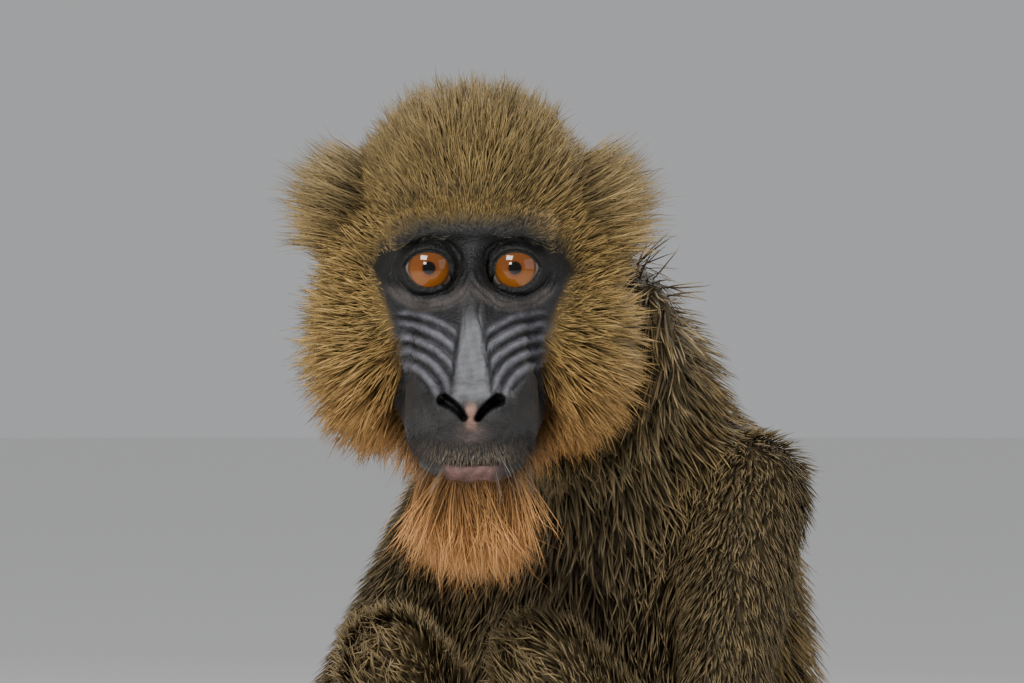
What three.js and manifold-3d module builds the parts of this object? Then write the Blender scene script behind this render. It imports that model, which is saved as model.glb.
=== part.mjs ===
// A young mandrill, life size, sitting on its rump with the knees drawn up in front of the chest,
// both hands and feet on the ground and the face turned towards -Y.
// Millimetres. +Z is up, +X is the animal's left as it faces -Y, and the origin ends up on the ground
// under the middle of the whole figure.
import * as THREE from "three";
import { mergeVertices } from "three/addons/utils/BufferGeometryUtils.js";
import Module from "manifold-3d";

const wasm = await Module();
wasm.setup();

// Driving dimensions
const GAP = 0.3; // between neighbouring pieces
const CUTTER_SLACK = 0.8; // more for the coarse copy of the head that cuts its neighbours
const EYE_HEIGHT = 285; // of the pupils above the ground
const EYE_APART = 26.7; // from pupil to pupil
const EYE_RADIUS = 9.8;
const EYE_DEPTH = 9.4; // from the front of the eye to its centre
const LID_THICKNESS = 1.5;
const BODY_YAW = 30; // degrees that the trunk is turned away from the face
const PELVIS_X = 52;
const PELVIS_Y = 125;
const SOLE_SINK = 0.8; // how much of a sole or palm is pressed flat

// Coat depths, from the skin to the outline
const CROWN_COAT = 10.5;
const CHEEK_COAT = 16;
const NAPE_COAT = 13;
const THROAT_COAT = 9;

const COAT_OLIVE = 0x7d6b3c;
const COAT_GREY = 0x6a6352;
const BEARD_ORANGE = 0xa0652a;
const EAR_SKIN = 0x6e5a55;
const EYE_AMBER = 0xb8661c;
const HAND_SKIN = 0x2e2b2b;

const vec = (x, y, z) => new THREE.Vector3(x, y, z);
const rad = THREE.MathUtils.degToRad;
const clamp01 = (value) => Math.min(1, Math.max(0, value));
const smooth = (value) => clamp01(value) ** 2 * (3 - 2 * clamp01(value));
const ramp = (value, from, to) => smooth((value - from) / (to - from));

// Solids

function solid(geometry) {
  const bare = geometry.clone();
  bare.deleteAttribute("normal");
  bare.deleteAttribute("uv");
  const merged = mergeVertices(bare, 1e-4);
  return new wasm.Manifold(
    new wasm.Mesh({
      numProp: 3,
      vertProperties: merged.attributes.position.array,
      triVerts: new Uint32Array(merged.index.array),
    }),
  );
}

function largest(shape) {
  return shape.decompose().sort((a, b) => b.volume() - a.volume())[0];
}

function joined(shapes) {
  return shapes.reduce((whole, next) => whole.add(next));
}

function without(shape, ...cutters) {
  return cutters.reduce((rest, cutter) => rest.subtract(cutter), shape);
}

const mirrored = (shape) => shape.mirror([1, 0, 0]);
const onBothSides = (shape) => shape.add(mirrored(shape));

function geometryOf(shape) {
  const mesh = shape.getMesh();
  return new THREE.BufferGeometry()
    .setAttribute("position", new THREE.BufferAttribute(new Float32Array(mesh.vertProperties), 3))
    .setIndex(new THREE.BufferAttribute(new Uint32Array(mesh.triVerts), 1));
}

function ellipsoid({ at, half, turn = [0, 0, 0], columns = 16, rows = 12 }) {
  const geometry = new THREE.SphereGeometry(1, columns, rows);
  geometry.scale(...half);
  geometry.applyMatrix4(new THREE.Matrix4().makeRotationFromEuler(new THREE.Euler(...turn.map(rad))));
  geometry.translate(at.x, at.y, at.z);
  return solid(geometry);
}

function box(low, high) {
  const size = high.clone().sub(low);
  const middle = high.clone().add(low).multiplyScalar(0.5);
  return solid(new THREE.BoxGeometry(size.x, size.y, size.z).translate(middle.x, middle.y, middle.z));
}

// A closed body of oval rings along a smooth line. wide is the half width along side, deep across it.
function loft({ at, wide, deep = wide, side, sides = 16, steps = 12, round = 2, grow = 0 }) {
  const line = new THREE.CatmullRomCurve3(at, false, "centripetal");
  const girth = new THREE.CatmullRomCurve3(
    wide.map((w, i) => vec(w, deep[i], 0)),
    false,
    "centripetal",
  );
  const rings = [];
  const ringAt = (t, along, share) => {
    const tangent = line.getTangent(t);
    const size = girth.getPoint(t).addScalar(grow);
    const x = side.clone().addScaledVector(tangent, -side.dot(tangent)).normalize();
    const y = tangent.clone().cross(x);
    const centre = line.getPoint(t).addScaledVector(tangent, along * Math.min(size.x, size.y));
    rings.push({ centre, x: x.multiplyScalar(size.x * share), y: y.multiplyScalar(size.y * share) });
  };
  for (let i = round; i > 0; i--) {
    const angle = (i / (round + 1)) * (Math.PI / 2);
    ringAt(0, -Math.sin(angle), Math.cos(angle));
  }
  for (let i = 0; i <= steps; i++) ringAt(i / steps, 0, 1);
  for (let i = 1; i <= round; i++) {
    const angle = (i / (round + 1)) * (Math.PI / 2);
    ringAt(1, Math.sin(angle), Math.cos(angle));
  }
  const poleAt = (t, sign) => {
    const size = girth.getPoint(t).addScalar(grow);
    const reach = round ? Math.min(size.x, size.y) : 0;
    return line.getPoint(t).addScaledVector(line.getTangent(t), sign * reach);
  };
  return closedRings(rings, sides, poleAt(0, -1), poleAt(1, 1));
}

// Rings of {centre, x, y} become a closed solid with a pole at each end.
function closedRings(rings, sides, first, last) {
  const points = [];
  rings.forEach(({ centre, x, y }) => {
    for (let j = 0; j < sides; j++) {
      const angle = (2 * Math.PI * j) / sides;
      points.push(centre.clone().addScaledVector(x, Math.cos(angle)).addScaledVector(y, Math.sin(angle)));
    }
  });
  const faces = ringFaces(rings.length, sides);
  points.push(first, last);
  return solidOfPoints(points, faces);
}

function ringFaces(count, sides) {
  const faces = [];
  const index = (i, j) => i * sides + (j % sides);
  const firstPole = count * sides;
  for (let j = 0; j < sides; j++) {
    faces.push(firstPole, index(0, j + 1), index(0, j));
    for (let i = 0; i + 1 < count; i++) {
      faces.push(index(i, j), index(i, j + 1), index(i + 1, j + 1));
      faces.push(index(i, j), index(i + 1, j + 1), index(i + 1, j));
    }
    faces.push(firstPole + 1, index(count - 1, j), index(count - 1, j + 1));
  }
  return faces;
}

function solidOfPoints(points, faces) {
  const geometry = new THREE.BufferGeometry().setFromPoints(points);
  geometry.setIndex(faces);
  return solid(geometry);
}

// The head's form: rounded masses of flesh that blend, measured from the point midway between the pupils.
// pitch turns a mass about X, in degrees, and both puts one on each side.
const HEAD_MASSES = [
  { name: "cranium", at: [0, 50, 12], half: [35, 42, 34] },
  { name: "temples", at: [0, 38, 5], half: [36, 26, 26] },
  { name: "orbits", at: [0, 18, 1], half: [28, 14, 12] },
  { name: "brow", at: [0, 8, 12], half: [25, 9, 6] },
  { name: "cheekbone", at: [21, 17, -9], half: [8, 13, 8], both: true },
  { name: "snout", at: [0, -8, -36], half: [20, 31, 14], pitch: 34 },
  { name: "lips", at: [0, -18, -50], half: [20, 20, 11], pitch: 8 },
  { name: "midface", at: [0, 5, -15], half: [18, 12, 15] },
  { name: "bridge", at: [0, -6.5, -10], half: [4.5, 20, 4], pitch: 55 },
  { name: "nasal_swelling", at: [10.5, -15, -26], half: [6, 19, 4.5], pitch: 42, both: true },
  { name: "nose_tip", at: [0, -37, -42.5], half: [9, 6, 5] },
  { name: "nostril_wing", at: [8, -35.5, -43.5], half: [5, 5.5, 4.5], both: true },
  { name: "lower_lip", at: [0, -24, -61], half: [13, 12, 5.5] },
  { name: "chin", at: [0, -15, -61], half: [12, 15, 10] },
  { name: "jaw", at: [0, 14, -46], half: [22, 34, 15], pitch: -8 },
  { name: "jaw_muscle", at: [25, 34, -22], half: [15, 25, 25], both: true },
];
const HEAD_BLEND = 8;
const ORBIT = { at: [EYE_APART / 2 + 0.5, -7.5, 0], half: [11, 10.5, 8.5] };
const ORBIT_BLEND = 5;

// Distance from a mass that is grown by extra, below 0 inside.
function massDistance(p, { at, half, pitch = 0 }, extra = 0, mirror = false) {
  const x = (mirror ? -p.x : p.x) - at[0];
  const dy = p.y - at[1];
  const dz = p.z - at[2];
  const c = Math.cos(rad(pitch));
  const s = Math.sin(rad(pitch));
  const local = [x, c * dy + s * dz, -s * dy + c * dz];
  const reach = half.map((value) => value + extra);
  const near = Math.hypot(...local.map((value, i) => value / reach[i]));
  const slope = Math.hypot(...local.map((value, i) => value / reach[i] ** 2));
  return slope < 1e-9 ? -Math.min(...reach) : (near * (near - 1)) / slope;
}

function blended(a, b, reach) {
  const share = Math.max(reach - Math.abs(a - b), 0) / reach;
  return Math.min(a, b) - (share * share * reach) / 4;
}

// Distance from the head's outline with this much coat on the skin, below 0 inside.
function headDistance(p, coat) {
  let distance = massDistance(p, HEAD_MASSES[0], coat);
  for (const mass of HEAD_MASSES.slice(1)) {
    distance = blended(distance, massDistance(p, mass, coat), HEAD_BLEND);
    if (mass.both) distance = blended(distance, massDistance(p, mass, coat, true), HEAD_BLEND);
  }
  const socket = Math.min(massDistance(p, ORBIT), massDistance(p, ORBIT, 0, true)) + coat;
  return -blended(-distance, socket, ORBIT_BLEND);
}

// The edge of the bare face: how far back it reaches at height z, and how high over the eyes.
const BROW_EDGE = 13;
const BROW_DROOP = 0.006; // lowers the brow line towards the temples
const faceEdge = (z) => (z > -8 ? 12 + 0.35 * z : 9.2 + 0.6 * (z + 8));
const browEdge = (x) => BROW_EDGE - BROW_DROOP * Math.min(x * x, 900);

// Coat depth at a point of the head.
function headCoat(p) {
  const behind = (p.y - faceEdge(p.z)) / 28;
  const above = (p.z - browEdge(p.x)) / 36;
  const share = smooth(Math.max(behind, above)) ** 0.7;
  const onCheek = ramp(p.z, 44, 10) * ramp(p.z, -72, -50) * ramp(Math.abs(p.x), 12, 34);
  const onNape = ramp(p.y, 50, 90);
  const underJaw = ramp(p.z, -50, -64);
  let depth = CROWN_COAT + (CHEEK_COAT - CROWN_COAT) * onCheek;
  depth += (NAPE_COAT - depth) * onNape;
  depth += (THROAT_COAT - depth) * underJaw;
  return depth * share;
}

const headOutline = (p) => headDistance(p, headCoat(p));
const headSkin = (p) => headDistance(p, 0);

// The closed surface where distance is 0, as a net with one point in each cell of the grid that it crosses.
function net(distance, xs, ys, zs) {
  const size = [xs.length, ys.length, zs.length];
  const index = (i, j, k) => (k * size[1] + j) * size[0] + i;
  const values = new Float64Array(size[0] * size[1] * size[2]);
  for (let k = 0; k < size[2]; k++) {
    for (let j = 0; j < size[1]; j++) {
      for (let i = 0; i < size[0]; i++) values[index(i, j, k)] = distance(vec(xs[i], ys[j], zs[k]));
    }
  }
  const corner = (i, j, k) => vec(xs[i], ys[j], zs[k]);
  const points = [];
  const pointOf = new Map();
  const pointIn = (i, j, k) => {
    const key = index(i, j, k);
    if (pointOf.has(key)) return pointOf.get(key);
    const sum = vec(0, 0, 0);
    let count = 0;
    for (const [start, end] of CELL_EDGES) {
      const [a, b] = [start, end].map(([x, y, z]) => [i + x, j + y, k + z]);
      const [from, to] = [values[index(...a)], values[index(...b)]];
      if (from < 0 === to < 0) continue;
      sum.add(corner(...a).lerp(corner(...b), from / (from - to)));
      count++;
    }
    points.push(settled(sum.divideScalar(count), distance));
    pointOf.set(key, points.length - 1);
    return points.length - 1;
  };
  const faces = [];
  const around = [
    [0, 0],
    [-1, 0],
    [-1, -1],
    [0, -1],
  ];
  for (let k = 1; k + 1 < size[2]; k++) {
    for (let j = 1; j + 1 < size[1]; j++) {
      for (let i = 1; i + 1 < size[0]; i++) {
        const here = values[index(i, j, k)] < 0;
        for (let axis = 0; axis < 3; axis++) {
          const step = [0, 0, 0];
          step[axis] = 1;
          const there = values[index(i + step[0], j + step[1], k + step[2])] < 0;
          if (here === there) continue;
          const ring = around.map(([b, c]) => {
            const cell = [i, j, k];
            cell[(axis + 1) % 3] += b;
            cell[(axis + 2) % 3] += c;
            return pointIn(...cell);
          });
          if (there) ring.reverse();
          faces.push(ring[0], ring[1], ring[2], ring[0], ring[2], ring[3]);
        }
      }
    }
  }
  return solidOfPoints(points, faces);
}

const CELL_CORNERS = [0, 1, 2, 3, 4, 5, 6, 7].map((n) => [n & 1, (n >> 1) & 1, n >> 2]);
const CELL_EDGES = CELL_CORNERS.flatMap((a) =>
  CELL_CORNERS.filter((b) => b.every((value, i) => value >= a[i]))
    .filter((b) => b.reduce((sum, value, i) => sum + value - a[i], 0) === 1)
    .map((b) => [a, b]),
);

// A point moved onto the surface, along the slope of the distance.
function settled(point, distance) {
  const nudge = 0.05;
  for (let pass = 0; pass < 3; pass++) {
    const here = distance(point);
    const slope = vec(
      distance(point.clone().add(vec(nudge, 0, 0))) - here,
      distance(point.clone().add(vec(0, nudge, 0))) - here,
      distance(point.clone().add(vec(0, 0, nudge))) - here,
    ).divideScalar(nudge);
    const steep = Math.max(slope.lengthSq(), 0.25);
    point.addScaledVector(slope, Math.max(-1, Math.min(1, -here / steep)));
  }
  return point;
}

// Grid lines from one value past another, with steps that grow from fine to coarse.
function graded(from, to, fine, coarse, fineTo) {
  const marks = [from];
  while (marks.at(-1) < to) {
    const here = marks.at(-1);
    marks.push(here + fine + (coarse - fine) * ramp(here, fineTo, fineTo + 2 * coarse));
  }
  return marks;
}

const FACE_CELL = 4.6;
const SKULL_CELL = 11;
function headNet(distance, cell) {
  const right = graded(cell / 2, 76, cell, SKULL_CELL, 18);
  const xs = [...right.map((x) => -x).reverse(), ...right];
  const ys = graded(-56, 126, cell, SKULL_CELL, -6);
  const zs = graded(-84, 84, cell, SKULL_CELL, 6);
  return net(distance, xs, ys, zs);
}

// A coarse, slightly larger back of the head, which cuts what the head touches.
const CUTTER_CELL = 7;
const CUTTER_FRONT = 4;
function headCutter() {
  const grow = GAP + CUTTER_SLACK;
  return headNet((p) => Math.max(headOutline(p) - grow, CUTTER_FRONT - p.y), CUTTER_CELL);
}

// The left eye and its lids: a shell over the ball with an almond opening.
const EYE_AT = vec(EYE_APART / 2, EYE_DEPTH, 0);

function eyeball(grow = 0) {
  const half = EYE_RADIUS + grow;
  return ellipsoid({ at: EYE_AT, half: [half, half, half], columns: 14, rows: 9 });
}

function lids() {
  const half = EYE_RADIUS + LID_THICKNESS;
  const at = EYE_AT.clone().add(vec(0.3, 0.2, 0));
  return ellipsoid({ at, half: [half + 0.4, half, half - 0.8], columns: 16, rows: 11 });
}

const OPENING_WIDE = 7.5;
const OPENING_UP = 6.2;
const OPENING_DOWN = 6.4;
const INNER_CORNER = -1.2; // how low the corner beside the nose lies
function eyeOpening() {
  const wide = OPENING_WIDE;
  const full = 1.3; // a curve's handles reach past the curve
  const shape = new THREE.Shape();
  shape.moveTo(-wide, INNER_CORNER);
  shape.bezierCurveTo(-wide * 0.7, -OPENING_DOWN * full, wide * 0.7, -OPENING_DOWN * full, wide, 0.3);
  shape.bezierCurveTo(wide * 0.7, OPENING_UP * full, -wide * 0.7, OPENING_UP * full, -wide, INNER_CORNER);
  const block = new THREE.ExtrudeGeometry(shape, { depth: 30, bevelEnabled: false, curveSegments: 8 });
  block.rotateX(Math.PI / 2);
  return solid(block.translate(EYE_AT.x, EYE_AT.y, EYE_AT.z));
}

function nostril() {
  const at = vec(6.2, -42.5, -43.6);
  return ellipsoid({ at, half: [5, 6, 1.8], turn: [0, -40, 0], columns: 12, rows: 8 });
}

// A line round the front of the muzzle beside the mouth, a little under or over the skin.
const MOUTH_DEPTH = -12; // where the rays to the lips start
const MOUTH_HEIGHT = -61.5; // in the middle
const MOUTH_RISE = 4; // to the corners
const MOUTH_SWEEP = 78; // degrees to each side

// Where a level ray from inside the muzzle leaves the skin.
function skinPoint(from, direction, extra) {
  const p = from.clone().addScaledVector(direction, 60);
  for (let i = 0; i < 60; i++) p.addScaledVector(direction, (extra - headSkin(p)) * 0.7);
  return p;
}

function lip(lift, thick) {
  const at = [];
  for (let i = -6; i <= 6; i++) {
    const turn = rad((i / 6) * MOUTH_SWEEP);
    const from = vec(0, MOUTH_DEPTH, MOUTH_HEIGHT + MOUTH_RISE * (i / 6) ** 2 + lift);
    at.push(skinPoint(from, vec(Math.sin(turn), -Math.cos(turn), 0), -thick * 0.5));
  }
  const wide = at.map((_, i) => thick * (0.4 + 0.6 * Math.sin((Math.PI * i) / (at.length - 1))));
  return loft({ at, wide, side: vec(0, 0, 1), sides: 6, steps: 10, round: 1 });
}

// What is lower jaw: a block under the line of the mouth, as wide as the muzzle, up to behind its corners.
const JAW_HALF_WIDTH = 23;
function jawBlock(grow = 0) {
  const outline = [
    [-80, -63],
    [-40, -61.5],
    [-22, -58.5],
    [-8, -54],
    [4, -48],
    [13, -54],
    [16, -120],
    [-80, -120],
  ];
  const shape = new THREE.Shape();
  outline.forEach(([y, z], i) => (i ? shape.lineTo(y, z + grow) : shape.moveTo(y, z + grow)));
  const half = JAW_HALF_WIDTH + grow;
  const block = new THREE.ExtrudeGeometry(shape, { depth: 2 * half, bevelEnabled: false });
  block.translate(grow, 0, -half);
  block.applyMatrix4(new THREE.Matrix4().makeBasis(vec(0, 1, 0), vec(0, 0, 1), vec(1, 0, 0)));
  return solid(block);
}

// The beard as a smooth mass that hangs from the chin.
function beard() {
  const at = [vec(0, -10, -56), vec(0, -14, -66), vec(0, -16, -78), vec(0, -14, -92)];
  return loft({ at, wide: [15, 22, 21, 5], deep: [12, 14, 11, 3], side: vec(1, 0, 0), sides: 14, steps: 6, round: 1 });
}

// The outer ear: an upright oval cup that opens outwards and forwards.
const EAR_AT = [50, 50, 19];
const EAR_LEAN = 8;
const EAR_TURN = -32;
function ear() {
  const cup = ellipsoid({ at: vec(0, 0, 0), half: [6, 12.5, 18], columns: 12, rows: 8 });
  const hollow = ellipsoid({ at: vec(4.6, -1.5, 0.5), half: [6, 10, 15], columns: 10, rows: 7 });
  return cup.subtract(hollow).rotate([EAR_LEAN, 0, EAR_TURN]).translate(EAR_AT);
}

// The trunk's own frame: u to the animal's left, v towards its back, w up from the ground.
const YAW = rad(BODY_YAW);
const LEFTWARD = vec(Math.cos(YAW), -Math.sin(YAW), 0);
const BACKWARD = vec(Math.sin(YAW), Math.cos(YAW), 0);
function body(u, v, w) {
  return vec(PELVIS_X, PELVIS_Y, w).addScaledVector(LEFTWARD, u).addScaledVector(BACKWARD, v);
}

function trunk(grow = 0) {
  return loft({
    at: [
      body(0, 2, 15),
      body(0, 5, 40),
      body(0, 4, 90),
      body(0, 4, 140),
      body(0, -4, 185),
      body(0, -18, 220),
      body(0, -34, 246),
    ],
    wide: [47, 63, 67, 67, 64, 57, 44],
    deep: [42, 57, 61, 63, 62, 55, 43],
    side: LEFTWARD,
    sides: 24,
    steps: 13,
    round: 3,
    grow,
  });
}

function neck(grow = 0) {
  return loft({
    at: [body(0, -20, 236), vec(27, 84, 255), vec(11, 62, 266), vec(3, 46, 268)],
    wide: [50, 51, 47, 38],
    deep: [46, 45, 42, 34],
    side: LEFTWARD,
    sides: 18,
    steps: 5,
    grow,
  });
}

const TAIL_WIDTHS = [11, 10, 8.5, 5.5];
function tail() {
  const at = [body(0, 40, 50), body(0, 66, 60), body(0, 80, 82), body(0, 84, 106)];
  return loft({ at, wide: TAIL_WIDTHS, side: LEFTWARD, sides: 10, steps: 7 });
}

// The limbs, on the animal's left. Their joints are [u, v, w].
const SHOULDER = [49, -13, 214];
const ELBOW = [70, -70, 138];
const WRIST = [82, -122, 36];
const HIP = [42, 2, 46];
const KNEE = [28, -108, 160];
const ANKLE = [30, -94, 34];

const sided = ([u, v, w], sign) => body(sign * u, v, w);
const between = (a, b, share) => a.map((value, i) => value + (b[i] - value) * share);

function limb({ at, wide, deep, sign, grow, sides = 11, steps = 8 }) {
  return loft({ at: at.map((p) => sided(p, sign)), wide, deep, side: LEFTWARD, sides, steps, grow });
}

function arm(sign, grow = 0) {
  const at = [
    SHOULDER,
    between(SHOULDER, ELBOW, 0.5),
    between(SHOULDER, ELBOW, 0.93),
    between(ELBOW, WRIST, 0.1),
    between(ELBOW, WRIST, 0.5),
    WRIST,
  ];
  return limb({ at, wide: [27, 21, 17, 17.5, 14.5, 10], deep: [30, 24, 18.5, 19, 16, 9], sign, grow, steps: 12 });
}

function thigh(sign, grow = 0) {
  const at = [HIP, between(HIP, KNEE, 0.45), between(HIP, KNEE, 0.85), KNEE];
  return limb({ at, wide: [41, 34, 25, 22], deep: [44, 38, 28, 23], sign, grow, sides: 14 });
}

function shank(sign, grow = 0) {
  const at = [between(KNEE, ANKLE, 0.06), between(KNEE, ANKLE, 0.35), between(KNEE, ANKLE, 0.7), ANKLE];
  return limb({ at, wide: [20, 21, 15.5, 11.5], deep: [20, 23, 17, 12.5], sign, grow });
}

// A hand or foot: a flat palm, four digits forwards and one set apart. thick is a digit's half width.
function digit(from, to, arch, thick) {
  const middle = from.clone().lerp(to, 0.5).add(vec(0, 0, arch));
  return loft({
    at: [from, middle, to],
    wide: [thick * 1.05, thick, thick * 0.75],
    deep: [thick * 0.95, thick * 0.9, thick * 0.65],
    side: LEFTWARD,
    sides: 6,
    steps: 2,
    round: 1,
  });
}

const DIGIT_LENGTHS = [0.84, 1, 0.95, 0.78];
function paw({ sign, root, heel, ball, spread, reach, thick, apart }) {
  const deep = [1.4, 1.5, 1.2, 1].map((share) => share * thick);
  const lying = ([u, v], i) => [u, v, deep[i] - SOLE_SINK];
  const middle = [(heel[0] + ball[0]) / 2, (heel[1] + ball[1]) / 2];
  const palm = loft({
    at: [root, lying(heel, 1), lying(middle, 2), lying(ball, 3)].map((p) => sided(p, sign)),
    wide: [1.5, 1.9, 2.2, 2.7].map((share) => share * thick),
    deep,
    side: LEFTWARD,
    sides: 8,
    steps: 4,
    round: 1,
  });
  const tipHeight = thick * 0.65 - SOLE_SINK;
  const digits = DIGIT_LENGTHS.map((long, i) => {
    const slot = i - 1.5;
    const from = [ball[0] + slot * spread, ball[1] + 3, thick - SOLE_SINK];
    const to = [ball[0] + slot * spread * 1.45 + spread * 0.12, ball[1] - long * reach, tipHeight];
    return digit(sided(from, sign), sided(to, sign), thick * 0.6, thick * 0.75);
  });
  const [from, to] = apart;
  const setApart = digit(
    sided([...from, thick - SOLE_SINK], sign),
    sided([...to, tipHeight], sign),
    thick * 0.3,
    thick * 0.8,
  );
  return joined([palm, setApart, ...digits]);
}

function hand(sign) {
  return paw({
    sign,
    root: [82, -119, 32],
    heel: [82, -127],
    ball: [82, -158],
    spread: 8.3,
    reach: 40,
    thick: 5.2,
    apart: [
      [76, -134],
      [63, -160],
    ],
  });
}

function foot(sign) {
  return paw({
    sign,
    root: [30, -88, 26],
    heel: [31, -84],
    ball: [38, -162],
    spread: 9.2,
    reach: 44,
    thick: 6,
    apart: [
      [32, -124],
      [15, -158],
    ],
  });
}

// Cutting and naming

const WIDE_OPEN = 400; // larger than the animal
const below = box(vec(-WIDE_OPEN, -WIDE_OPEN, -WIDE_OPEN), vec(WIDE_OPEN, WIDE_OPEN, 0));
const slab = (low, high) => box(vec(-WIDE_OPEN, -WIDE_OPEN, low), vec(WIDE_OPEN, WIDE_OPEN, high));
const lifted = (shape) => shape.translate([0, 0, EYE_HEIGHT]);

const headCut = lifted(headCutter());
const trunkCut = trunk(GAP);
const neckCut = neck(GAP);

const features = joined([onBothSides(lids()), lip(2.4, 2), lip(-2.9, 2)]);
const openings = onBothSides(joined([eyeOpening(), nostril(), eyeball(GAP)]));
const wholeHead = without(headNet(headOutline, FACE_CELL).add(features), openings);
const upperHead = lifted(wholeHead.subtract(jawBlock(GAP)));
const lowerJaw = lifted(wholeHead.add(beard()).intersect(jawBlock()));

const pieces = new Map();
const add = (name, shape, color) => pieces.set(name, { shape: largest(shape), color });

add("head", upperHead, COAT_OLIVE);
add("lower_jaw", lowerJaw, BEARD_ORANGE);
for (const [side, placed] of Object.entries({ left: (shape) => shape, right: mirrored })) {
  add("eye_" + side, placed(lifted(eyeball())), EYE_AMBER);
  add("ear_" + side, without(placed(lifted(ear())), headCut, neckCut), EAR_SKIN);
}
add("neck", without(neck(), headCut, trunkCut), COAT_OLIVE);

const CHEST_FROM = 156;
const PELVIS_TO = 92;
const torso = without(trunk(), below, headCut);
add("chest", without(torso, slab(-WIDE_OPEN, CHEST_FROM)), COAT_OLIVE);
add("abdomen", without(torso, slab(CHEST_FROM - GAP, WIDE_OPEN), slab(-WIDE_OPEN, PELVIS_TO + GAP)), COAT_GREY);
add("pelvis", without(torso, slab(PELVIS_TO, WIDE_OPEN)), COAT_GREY);
add("tail", without(tail(), trunkCut), COAT_OLIVE);

const ELBOW_CUT = 138;
const WRIST_CUT = 32;
for (const [side, sign] of Object.entries({ left: 1, right: -1 })) {
  const wholeArm = without(arm(sign), trunkCut, neckCut, headCut);
  add("upper_arm_" + side, without(wholeArm, slab(-WIDE_OPEN, ELBOW_CUT + GAP)), COAT_GREY);
  const cuffed = slab(-WIDE_OPEN, WRIST_CUT + GAP);
  add("forearm_" + side, without(wholeArm, slab(ELBOW_CUT, WIDE_OPEN), cuffed), COAT_GREY);
  add("hand_" + side, without(hand(sign), slab(WRIST_CUT, WIDE_OPEN), below), HAND_SKIN);
  add("thigh_" + side, without(thigh(sign), trunkCut, below, arm(sign, GAP)), COAT_GREY);
  const lowerLeg = without(shank(sign), thigh(sign, GAP), slab(-WIDE_OPEN, WRIST_CUT + GAP));
  add("shank_" + side, lowerLeg, COAT_GREY);
  add("foot_" + side, without(foot(sign), slab(WRIST_CUT, WIDE_OPEN), below), HAND_SKIN);
}

const animal = new THREE.Group();
for (const [name, { shape, color }] of pieces) {
  const material = new THREE.MeshStandardMaterial({ color, roughness: 0.85, metalness: 0 });
  const mesh = new THREE.Mesh(geometryOf(shape), material);
  mesh.name = name;
  animal.add(mesh);
}
const whole = new THREE.Box3().setFromObject(animal);
const middle = whole.getCenter(vec(0, 0, 0));
animal.position.set(-middle.x, -middle.y, -whole.min.z);

export default animal;
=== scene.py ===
import math

import bmesh
import bpy
import numpy as np
from mathutils import Matrix, Vector, kdtree


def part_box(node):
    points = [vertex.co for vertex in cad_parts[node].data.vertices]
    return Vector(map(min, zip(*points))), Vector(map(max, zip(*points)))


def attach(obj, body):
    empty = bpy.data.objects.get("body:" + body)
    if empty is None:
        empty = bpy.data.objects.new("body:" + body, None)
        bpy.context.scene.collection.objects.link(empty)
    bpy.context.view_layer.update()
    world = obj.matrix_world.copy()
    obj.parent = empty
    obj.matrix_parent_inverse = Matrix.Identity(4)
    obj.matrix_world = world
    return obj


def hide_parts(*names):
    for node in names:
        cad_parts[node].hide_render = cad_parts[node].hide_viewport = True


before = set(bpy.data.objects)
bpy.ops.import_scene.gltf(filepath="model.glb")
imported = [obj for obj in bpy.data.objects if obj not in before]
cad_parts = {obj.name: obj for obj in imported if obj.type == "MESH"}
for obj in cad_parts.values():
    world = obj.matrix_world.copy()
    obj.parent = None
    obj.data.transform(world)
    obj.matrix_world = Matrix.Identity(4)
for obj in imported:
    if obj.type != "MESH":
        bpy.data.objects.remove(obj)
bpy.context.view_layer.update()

MM = 0.001
random = np.random.default_rng(53)


# The head under its coat: skull, muzzle, jaw and the swellings beside the nose, as rounded masses that flow
# into one another. The same masses give the skin its place, so that bone shows through evenly.
EYE_HEIGHT = 285
EYE_APART = 26.7
EYE_RADIUS = 9.8
EYE_DEPTH = 9.4
HEAD_MASSES = [
    ((0, 50, 12), (35, 42, 34), 0),  # cranium
    ((0, 38, 5), (36, 26, 26), 0),  # temples
    ((0, 18, 1), (28, 14, 12), 0),  # orbits
    ((0, 8, 12), (25, 9, 6), 0),  # brow
    ((21, 17, -9), (8, 13, 8), 0),  # cheekbones
    ((-21, 17, -9), (8, 13, 8), 0),
    ((0, -8, -36), (20, 31, 14), 34),  # snout
    ((0, -18, -50), (20, 20, 11), 8),  # lips
    ((0, 5, -15), (18, 12, 15), 0),  # between the eyes and the muzzle
    ((0, -6.5, -10), (4.5, 20, 4), 55),  # bridge of the nose
    ((10.5, -15, -26), (6, 19, 4.5), 42),  # swellings beside the nose
    ((-10.5, -15, -26), (6, 19, 4.5), 42),
    ((0, -37, -42.5), (9, 6, 5), 0),  # nose
    ((8, -35.5, -43.5), (5, 5.5, 4.5), 0),  # nostril wings
    ((-8, -35.5, -43.5), (5, 5.5, 4.5), 0),
    ((0, -24, -61), (13, 12, 5.5), 0),  # lower lip
    ((0, -15, -61), (12, 15, 10), 0),  # chin
    ((0, 14, -46), (22, 34, 15), -8),  # jaw
    ((25, 34, -22), (15, 25, 25), 0),  # jaw muscles
    ((-25, 34, -22), (15, 25, 25), 0),
]
HEAD_BLEND = 8
ORBITS = [((13.85, -7.5, 0), (11, 10.5, 8.5), 0), ((-13.85, -7.5, 0), (11, 10.5, 8.5), 0)]
ORBIT_BLEND = 5

low_left, high_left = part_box("eye_left")
low_right, high_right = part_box("eye_right")
ORIGIN = np.array((low_left + high_left + low_right + high_right) / 4) - np.array((0, EYE_DEPTH, 0)) * MM


def local(points):
    """Millimetres from the midpoint between the pupils, for places in the scene."""
    return (np.asarray(points, float) - ORIGIN) / MM


def placed(points):
    """Places in the scene, for millimetres from the midpoint between the pupils."""
    return np.asarray(points, float) * MM + ORIGIN


def smooth(value):
    value = np.clip(value, 0, 1)
    return value * value * (3 - 2 * value)


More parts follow.
